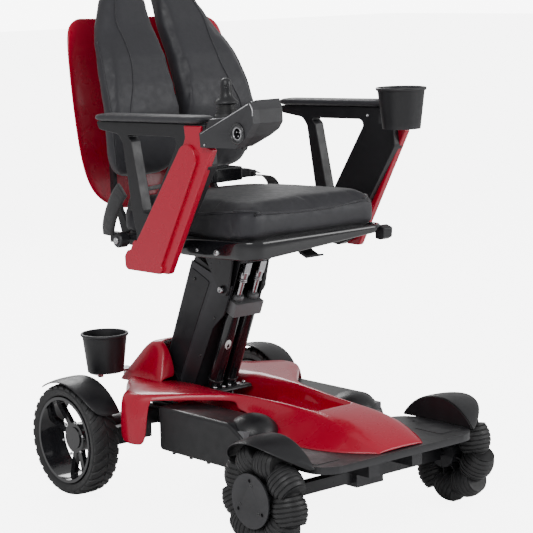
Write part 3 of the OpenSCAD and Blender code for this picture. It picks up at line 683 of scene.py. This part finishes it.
def rear_fenders():
    for name, side in SIDES:
        rows = []
        stations = [(-34, 24), (-30, 46), (-20, 68), (-4, 78), (14, 80), (32, 78), (48, 72), (57, 58),
                    (60, 40)]
        for deg, width in stations:
            first = 328 - width if deg < -10 else 248
            row = []
            for k in range(7):
                u = k / 6
                row.append((side * (first + width * u), *around(REAR_HUB, 146.5 - 7.0 * u ** 3, deg)))
            rows.append(row[::-side])
        sheet("rear_arch_" + name, rows[::-1], 3.5, "black_satin", "base", "rear_fender_" + name,
              mirror=False, level=2)

# ------------------------------------------------------------------ battery cases
def battery_cases():
    for name, side in SIDES:
        outline = filleted([(112, 130), (112, 232), (-138, 232), (-184, 205), (-197, 160), (-197, 129)],
                           [10, 8, 40, 30, 20, 10], 6)
        plate("battery_cover_" + name, outline, side * 214, side * 116, "black_satin", "base",
              "battery_case_" + name, bevel=7)
        dome_x, dome_y, dome_z, tall = 150, -146, 202, 44
        def oval(r, z):
            turns = [2 * math.pi * k / 24 for k in range(24)]
            return [(side * (dome_x + 58 * r * math.cos(a)), dome_y + 60 * r * math.sin(a), z)
                    for a in turns]
        rings = [oval(1, 172)]
        for t in range(10):
            a = math.pi / 2 * t / 9.2
            rings.append(oval(math.cos(a), dome_z + tall * math.sin(a)))
        closed_loft("case_dome_" + name, rings, "black_satin", "base")
        for k in range(4):
            bolt("case_bolt_%s_%d" % (name, k), (side * 204, 70 - 62 * k, 130), (0, 0, -1), 4.5, 5,
                 "black_gloss", "base")

# ------------------------------------------------------------------ mast
BASE_PIVOT = (287, 278)
LEAN = Matrix.Translation(Vector((0, *BASE_PIVOT))) @ Matrix.Rotation(math.radians(23.3), 4, "X")
CYLINDER_X, CYLINDER_V = 22, -146

def leaned(p):
    return tuple(LEAN @ Vector(p))

def mast_details():
    for name, side in SIDES:
        web = filleted([(-110, -58), (-110, 20), (-121, 175), (-145, 224), (-145, 298), (-84, 292),
                        (-74, 150), (-58, -76)], 5, 3)
        plate("mast_rib_" + name, web, side * 47.5, side * 50.6, "mast_grey", "base", bevel=1.1, to=leaned)
        rear = filleted([(-50, -84), (-62, 150), (-70, 270), (2, 270), (2, -94)], 6, 3)
        plate("mast_web_" + name, rear, side * 47.5, side * 49.4, "mast_grey", "base", bevel=0.8, to=leaned)
        bolt("base_pin_" + name, (side * 63.5, *BASE_PIVOT), (side, 0, 0), 9, 5, "steel", "base")
        bolt("top_pin_" + name, (side * 63.5, 58, 488), (side, 0, 0), 8, 4.5, "steel", "seat")
        for k, (v, w) in enumerate(((-96, -20), (-104, 90), (-118, 200), (-20, 250), (-20, -60))):
            bolt("mast_screw_%s_%d" % (name, k), leaned((side * 49.2, v, w)), (side, 0, 0), 4, 2.6,
                 "black_gloss", "base")
        cylinder = LEAN @ Matrix.Translation((side * CYLINDER_X, CYLINDER_V, 0))
        for k, w in enumerate((-18, 40)):
            ring = [(17.1, w), (18.3, w + 1), (18.3, w + 7), (17.1, w + 8)]
            spun("cylinder_band_%s_%d" % (name, k), ring, cylinder, "black_gloss", "base", steps=40)
        spun("rod_gland_" + name, [(7.3, 262), (13, 262), (14, 265), (14, 272), (11, 276), (7.3, 276)],
             cylinder, "collar_grey", "base", steps=32)
        for k in range(3):
            foot = 312 + 4 * k
            washer = [(7.2, foot), (11.5 - k, foot), (11.5 - k, foot + 3), (7.2, foot + 3)]
            spun("rod_washer_%s_%d" % (name, k), washer, cylinder, "steel", "lift", steps=28)
    flange = [(136, 233), (136, 241), (112, 241), (108, 236), (108, 233)]
    plate("mast_front_flange", flange, -66, 66, "frame_black", "base", bevel=1.5)
    for k in range(6):
        bolt("flange_bolt_%d" % k, (-55 + 22 * k, 122 + 5 * (k % 2), 240.5), (0, 0, 1), 5, 5.5, "steel",
             "base")
    label, rim, steps = [], [], 24
    for k in range(steps):
        a = 2 * math.pi * k / steps
        turn = math.radians(-112) + 0.42 * math.cos(a)
        for r, out in ((17.25, rim), (17.7, label)):
            out.append(leaned((-CYLINDER_X + r * math.cos(turn), CYLINDER_V + r * math.sin(turn),
                               150 + 13 * math.sin(a))))
    badge = finish_piece(prism("blank_label", rim + label), "battery_grey", "base")
    badge.data.materials[0] = M["label_white"]

# ------------------------------------------------------------------ seat tray, knob, belt
SEAT = Matrix.Translation(Vector((0, -195, 621))) @ Matrix.Rotation(math.radians(-2.2), 4, "X")

def seat_tray():
    half, corner, straight_to = 204, 44, 24
    bowl_depth, rail_depth, bowl_from = -26, -3, -150
    plan = [(-half, 300), (-half, straight_to)]
    for k in range(9):
        a = math.pi + math.pi / 2 * k / 8
        plan.append((-half + corner + corner * math.cos(a), straight_to + corner * math.sin(a)))
    plan += [(-x, y) for x, y in plan[::-1]]
    rings = []
    for i, (x, y) in enumerate(plan):
        a, b = Vector(plan[max(i - 1, 0)]), Vector(plan[min(i + 1, len(plan) - 1)])
        t = (b - a).normalized()
        out = Vector((t.y, -t.x))
        out = -out if out.dot(Vector((x, y - 150))) < 0 else out
        deep = bowl_depth if x < bowl_from else rail_depth
        ring = []
        for off, z in ((3.5, 13), (4.5, 8), (3.0, deep + 5), (0, deep), (-7, deep), (-9, deep + 4), (-9, 13),
                       (-4, 16), (1, 16)):
            ring.append(tuple(SEAT @ Vector((x + out.x * off, y + out.y * off, z))))
        rings.append(ring)
    closed_loft("seat_tray_rim", rings, "black_gloss", "seat", level=2)
    for name, side in SIDES:
        bolt("tray_knob_" + name, (side * 200, -108, 606), (side, 0, 0), 7, 12, "steel", "seat",
             socket=False)
        bolt("tray_screw_" + name, (side * 205, -40, 606), (side, 0, 0), 4, 4, "steel", "seat")
    clip = filleted([(-210, 600), (-222, 606), (-224, 628), (-204, 634), (-194, 624), (-194, 602)], 4, 3)
    plate("rail_clip", clip, 186, 214, "black_satin", "seat", bevel=2)

RIBBON_SECTION = ((-1, -0.6), (-1, 0.6), (-0.9, 1), (0.9, 1), (1, 0.6), (1, -0.6), (0.9, -1), (-0.9, -1))

def ribbon(name, path, width, thick, slot, body, across=(0, 1, 0)):
    rings = []
    pts = smooth_path(path, 6)
    for i, p in enumerate(pts):
        p = Vector(p)
        t = (Vector(pts[min(i + 1, len(pts) - 1)]) - Vector(pts[max(i - 1, 0)])).normalized()
        w = (Vector(across) - t * t.dot(Vector(across))).normalized()
        n = t.cross(w)
        rings.append([tuple(p + w * a * width / 2 + n * b * thick / 2) for a, b in RIBBON_SECTION])
    return closed_loft(name, rings, slot, body, level=1)

def rounded_block(name, centre, size, corner, slot, body, turn=0.0, bevel=2.0):
    w, d, h = (s / 2 for s in size)
    ring = filleted([(-w, -d), (w, -d), (w, d), (-w, d)], corner, 6)
    put = Matrix.Translation(Vector(centre)) @ Matrix.Rotation(turn, 4, "Z")
    obj = prism(name, [tuple(put @ Vector((x, y, z))) for z in (-h, h) for x, y in ring])
    soften(obj, bevel * 0.001, 4, 30)
    return finish_piece(obj, slot, body)

def lap_belt_piece():
    top = 722
    left = [(-216, 178, 676), (-208, 178, 702), (-188, 177, top - 2), (-150, 175, top + 2),
            (-90, 164, top + 8), (-10, 154, top + 12)]
    right = [(216, 180, 676), (208, 180, 702), (188, 180, top - 2), (150, 180, top + 3), (112, 172, top + 8),
             (84, 162, top + 11), (60, 158, top + 12)]
    strap = ribbon("lap_strap_right", left, 44, 2.6, "webbing", "seat")
    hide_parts("lap_belt")
    ribbon("lap_strap_left", right, 44, 2.6, "webbing", "seat")
    ribbon("lap_strap_tail", [(60, 154, top + 16), (96, 160, top + 24), (128, 172, top + 18),
                              (150, 178, top + 10)], 40, 2.2, "webbing", "seat")
    rounded_block("buckle_body", (20, 150, top + 19), (98, 62, 32), 12, "black_gloss", "seat", 0.08, 3.5)
    rounded_block("buckle_button", (14, 149, top + 35.5), (38, 28, 4), 6, "black_satin", "seat", 0.08, 1.5)
    rounded_block("buckle_tongue", (78, 154, top + 17), (36, 52, 20), 6, "black_satin", "seat", 0.08, 2.5)
    rounded_block("buckle_slide", (112, 168, top + 13), (24, 54, 16), 5, "black_gloss", "seat", 0.1, 2.5)

def side_straps():
    for name, side in SIDES:
        path = [(side * 227, 258, 614), (side * 229, 256, 636), (side * 231, 238, 672)]
        if side < 0:
            path += [(side * 230, 216, 706), (side * 227, 200, 724)]
        obj = ribbon("side_strap_" + name, path, 42, 11, "webbing", "seat", across=(0, 0.85, 0.5))
        if side < 0:
            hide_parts("belt_anchor")
        profile = [(0.01, -13), (15, -13), (17, -10), (17, 10), (15, 13), (0.01, 13)]
        spun("strap_eye_" + name, profile, facing((1, 0, 0), (side * 222, 218, 606)), "black_satin", "seat",
             steps=32, bevel=1)
        bolt("strap_bolt_" + name, (side * 235, 218, 606), (side, 0, 0), 8, 5, "steel", "seat")

# ------------------------------------------------------------------ armrests
def arm_covers():
    centre, r = Vector((-127, 819)), 31
    run = Vector((127, -247)).normalized()
    square = Vector((-run.y, run.x))
    arc = [tuple(centre + r * (math.cos(math.pi * k / 12) * square - math.sin(math.pi * k / 12) * run))
           for k in range(13)]
    lower = filleted([(-34, 575), (-24, 561), (92, 560), (101, 566), (103, 590), (92, 604), (80, 606),
                      (66, 632)], [12, 10, 10, 8, 10, 10, 12, 10], 4)
    for name, side in SIDES:
        body = "armrest_" + name
        plate("red_cover_" + name, arc + lower, side * 290, side * 301, "red_gloss", body,
              "armrest_cover_" + name, bevel=4)
        front = filleted([(-112, 889), (-172, 890.5), (-167, 872), (-178, 853), (-206, 842), (-44, 562),
                          (-2, 562), (-96, 826), (-116, 862)], [3, 3, 12, 14, 5, 8, 4, 20, 20], 5)
        plate("red_edge_" + name, front, side * 276, side * 293, "red_gloss", body, bevel=3)
        if side > 0:
            for k, (y, z) in enumerate(((-150, 866), (-100, 872), (-40, 600))):
                bolt("arm_screw_%d" % k, (260, y, z), (-1, 0, 0), 4, 2.5, "steel", body)

def arm_frames():
    outer = filleted([(208, 884), (200, 866), (128, 858), (112, 840), (86, 690), (72, 640), (76, 592),
                      (66, 566), (10, 560), (-30, 576), (-186, 806), (-176, 893.8)],
                     [4, 10, 18, 20, 40, 30, 14, 8, 8, 10, 14, 5], 4)
    window = filleted([(98, 858), (82, 846), (46, 690), (26, 688), (-84, 850), (-74, 862)],
                      [10, 12, 10, 12, 18, 14], 5)
    boss = [(80 + 8.2 * math.cos(math.pi * k / 10), 592 + 8.2 * math.sin(math.pi * k / 10))
            for k in range(20)]
    for name, side in SIDES:
        curve = bpy.data.curves.new("arm_frame_" + name, "CURVE")
        curve.dimensions = "2D"
        curve.fill_mode = "BOTH"
        for ring in (outer, window, boss):
            line = curve.splines.new("POLY")
            line.points.add(len(ring) - 1)
            for point, (y, z) in zip(line.points, ring):
                point.co = (y * 0.001, z * 0.001, 0, 1)
            line.use_cyclic_u = True
        curve.extrude = 0.0115
        curve.bevel_depth = 0.0022
        curve.bevel_resolution = 2
        curve.offset = -0.0022
        flat = bpy.data.objects.new("flat_" + name, curve)
        bpy.context.scene.collection.objects.link(flat)
        bpy.context.view_layer.update()
        me = evaluated(flat)
        bpy.data.objects.remove(flat)
        for v in me.vertices:
            y, z, x = v.co
            v.co = (side * 0.274 + x, y, z)
        obj = bpy.data.objects.new("arm_frame_" + name, me)
        bm = bmesh.new()
        bm.from_mesh(me)
        bmesh.ops.remove_doubles(bm, verts=bm.verts, dist=0.00002)
        bmesh.ops.recalc_face_normals(bm, faces=bm.faces)
        bm.to_mesh(me)
        bm.free()
        for p in me.polygons:
            p.use_smooth = True
        w = obj.modifiers.new("wn", "WEIGHTED_NORMAL")
        w.keep_sharp = True
        finish_piece(obj, "black_satin", "armrest_" + name, "armrest_frame_" + name)

def arm_pads():
    for name, side in SIDES:
        length, y0 = (380, -173) if side < 0 else (364, -158)
        rings = []
        for k in range(25):
            t = k / 24
            y = y0 + length * t
            end = min(t, 1 - t) * length
            grow = math.sqrt(max(0.0, 1 - (1 - min(end / 12, 1)) ** 2))
            half, tall = 27 * (0.72 + 0.28 * grow), 8.6 * (0.45 + 0.55 * grow)
            mid = 898 - (y - 18) * math.tan(math.radians(1.5))
            ring = []
            for m in range(20):
                a = 2 * math.pi * m / 20
                cx = math.copysign(abs(math.cos(a)) ** 0.45, math.cos(a))
                sz = math.copysign(abs(math.sin(a)) ** 0.7, math.sin(a))
                ring.append((side * 274 + half * cx, y, mid + tall * sz))
            rings.append(ring)
        pad = closed_loft("arm_pad_" + name, rings, "leatherette", "armrest_" + name,
                          "armrest_pad_" + name, level=1)
        along = [y0 + 14 + (length - 28) * k / 12 for k in range(13)]
        line = [(side * 274 + 27.2, y, 894 - (y - 18) * math.tan(math.radians(1.5))) for y in along]
        tube("arm_pad_piping_" + name, line, 1.2, "leatherette", "armrest_" + name, sides=6)

def pod_details():
    body = "armrest_right"
    # thin steel strips along the pod's top and front edges are painted highlights: bright lines standing in
    # for reflections on the glossy black edges
    tube("pod_highlight_strip_outer", [(-304, -184, 876), (-304, -260, 909), (-304, -340, 944)], 1.1, "steel", body,
         sides=6)
    tube("pod_highlight_strip_inner", smooth_path([(-286, -194, 905), (-286, -244, 911), (-286, -262, 915.5),
                                        (-286, -338, 949)], 5), 1.0, "steel", body, sides=6)
    tube("pod_highlight_strip_front", smooth_path([(-304, -343, 946), (-304, -351, 934), (-304, -352, 920)], 4), 1.1,
         "steel", body, sides=6)
    at = facing((-1, 0, 0), (-304, -304, 882))
    spun("socket_ring", [(17, 0), (22, 0), (22.6, 2), (20, 3.6), (17, 2.6)], at, "black_gloss", body)
    spun("socket_dish", [(11.2, -0.5), (17.2, 0), (17.2, 1.4), (14, 1.0), (11.2, 0.6)], at, "collar_grey",
         body)
    spun("socket_lip", [(11.1, -1), (13, -1), (13.4, 1.8), (12.2, 2.4), (11.1, 1.6)], at, "steel", body)
    for k in range(3):
        a = 2 * math.pi * k / 3 + 0.5
        spun("socket_pin_%d" % k, [(0.01, -8), (1.8, -8), (1.8, -1.5), (1.2, -0.8), (0.01, -0.8)],
             at @ Matrix.Translation((5.5 * math.cos(a), 5.5 * math.sin(a), 0)), "steel", body, steps=12)
    bolt("pod_screw", (-304, -196, 853), (-1, 0, 0), 2.6, 1.4, "steel", body)
    bellows = [(25.5, 911), (26, 913)]
    for k in range(5):
        bellows += [(24.5 - 1.2 * k, 915.5 + 5 * k), (20 - 1.2 * k, 918 + 5 * k)]
    bellows += [(11, 940.5), (9.7, 940.5), (13, 920), (19.5, 911)]
    stick_x, stick_y, grip_radius = -263, -222, 11.7
    place = Matrix.Translation((stick_x, stick_y, 0))
    spun("joystick_bellows", bellows, place, "rubber_black", "stick", "joystick_boot")
    stick = [(0.01, 912), (4, 912), (4, 937), (23, 937.5), (25, 940), (23.5, 943.5), (18, 948), (14, 953),
             (12.2, 958), (11.6, 964), (12, 975), (11.2, 983), (8.8, 988), (4.6, 990.5), (0.01, 991)]
    spun("joystick_grip", stick, place, "black_satin", "stick", "joystick_stick")
    to_front = Vector((-0.65, -0.76, 0))
    spun("grip_dimple", [(2.6, 0), (4.4, 0), (4.8, 0.5), (3.6, 0.9), (2.6, 0.4)],
         facing(to_front, Vector((stick_x, stick_y, 975)) + to_front * grip_radius), "black_gloss", "stick",
         steps=24)

def cup_lips():
    for name, body, at in (("rear", "base", (-176, 362, 272)), ("arm", "armrest_left", (235, -235, 850))):
        spun("cup_lip_" + name, [(51.6, 88), (55.6, 86.5), (57.3, 88.5), (57.6, 91), (56, 93), (52.6, 93.2)],
             Matrix.Translation(at), "black_satin", body, steps=64)

# ------------------------------------------------------------------ camera, light, floor
def camera():
    distance, lens_mm = 4.3821, 130.2079
    az, el, roll = math.radians(-40.7), math.radians(8.9), math.radians(-1.4)
    back = Vector((math.sin(az) * math.cos(el), -math.cos(az) * math.cos(el), math.sin(el)))
    target = Vector((0, -0.03098, 0.54335))
    c = target + back * distance
    right = (-back).cross(Vector((0, 0, 1))).normalized()
    up = right.cross(-back)
    r = right * math.cos(roll) + up * math.sin(roll)
    u = -right * math.sin(roll) + up * math.cos(roll)
    cam = bpy.data.objects.new("camera", bpy.data.cameras.new("camera"))
    bpy.context.scene.collection.objects.link(cam)
    cam.data.sensor_width = 36
    cam.data.lens = lens_mm
    cam.data.clip_end = 100
    cam.matrix_world = Matrix(((r.x, u.x, back.x, c.x), (r.y, u.y, back.y, c.y),
                               (r.z, u.z, back.z, c.z), (0, 0, 0, 1)))
    bpy.context.scene.camera = cam

def area_light(name, loc, target, size, power):
    l = bpy.data.lights.new(name, "AREA")
    l.energy = power
    l.shape = "RECTANGLE"
    l.size, l.size_y = size
    o = bpy.data.objects.new(name, l)
    o.location = loc
    o.rotation_euler = (Vector(target) - Vector(loc)).to_track_quat("-Z", "Y").to_euler()
    bpy.context.scene.collection.objects.link(o)

def studio():
    w = bpy.data.worlds.new("studio")
    bpy.context.scene.world = w
    w.use_nodes = True
    nt = w.node_tree
    bg = nt.nodes["Background"]
    bg.inputs["Color"].default_value = (1.0, 1.0, 1.0, 1)
    bg.inputs["Strength"].default_value = 0.55
    seen = nt.nodes.new("ShaderNodeBackground")
    seen.inputs["Color"].default_value = (1.0, 1.0, 1.0, 1)
    seen.inputs["Strength"].default_value = 8.0
    path = nt.nodes.new("ShaderNodeLightPath")
    mix = nt.nodes.new("ShaderNodeMixShader")
    nt.links.new(path.outputs["Is Camera Ray"], mix.inputs["Fac"])
    nt.links.new(bg.outputs["Background"], mix.inputs[1])
    nt.links.new(seen.outputs["Background"], mix.inputs[2])
    nt.links.new(mix.outputs["Shader"], nt.nodes["World Output"].inputs["Surface"])
    me = bpy.data.meshes.new("floor")
    me.from_pydata([(-30, -30, 0), (30, -30, 0), (30, 30, 0), (-30, 30, 0)], [], [(0, 1, 2, 3)])
    f = bpy.data.objects.new("floor", me)
    bpy.context.scene.collection.objects.link(f)
    pale = material("floor_pale", (0.9, 0.9, 0.9), 0.6, vary=0.01, bump=0.02)
    fnt = pale.node_tree
    glow = fnt.nodes.new("ShaderNodeEmission")
    glow.inputs["Strength"].default_value = 6.0
    cam_ray = fnt.nodes.new("ShaderNodeLightPath")
    only = fnt.nodes.new("ShaderNodeMixShader")
    none = fnt.nodes.new("ShaderNodeEmission")
    none.inputs["Strength"].default_value = 0.0
    both = fnt.nodes.new("ShaderNodeAddShader")
    fnt.links.new(cam_ray.outputs["Is Camera Ray"], only.inputs["Fac"])
    fnt.links.new(none.outputs["Emission"], only.inputs[1])
    fnt.links.new(glow.outputs["Emission"], only.inputs[2])
    fnt.links.new(only.outputs["Shader"], both.inputs[0])
    fnt.links.new(fnt.nodes["Principled BSDF"].outputs["BSDF"], both.inputs[1])
    fnt.links.new(both.outputs["Shader"], fnt.nodes["Material Output"].inputs["Surface"])
    me.materials.append(pale)
    area_light("key", (-3.2, -2.2, 3.4), (0, 0, 0.5), (2.2, 2.2), 90)
    area_light("fill", (2.8, -3.6, 2.0), (0, 0, 0.5), (2.5, 2.0), 70)
    area_light("rim", (1.5, 3.5, 2.6), (0, 0, 0.7), (2.0, 1.5), 70)

for build in (body_shell, mast_fairing, seat_cushion, back_pads, back_shell_piece, rear_wheels,
              omni_wheels, front_fenders, rear_fenders, battery_cases, mast_details, seat_tray,
              lap_belt_piece, side_straps, arm_frames, arm_covers, arm_pads, pod_details, cup_lips):
    build()
camera()
studio()
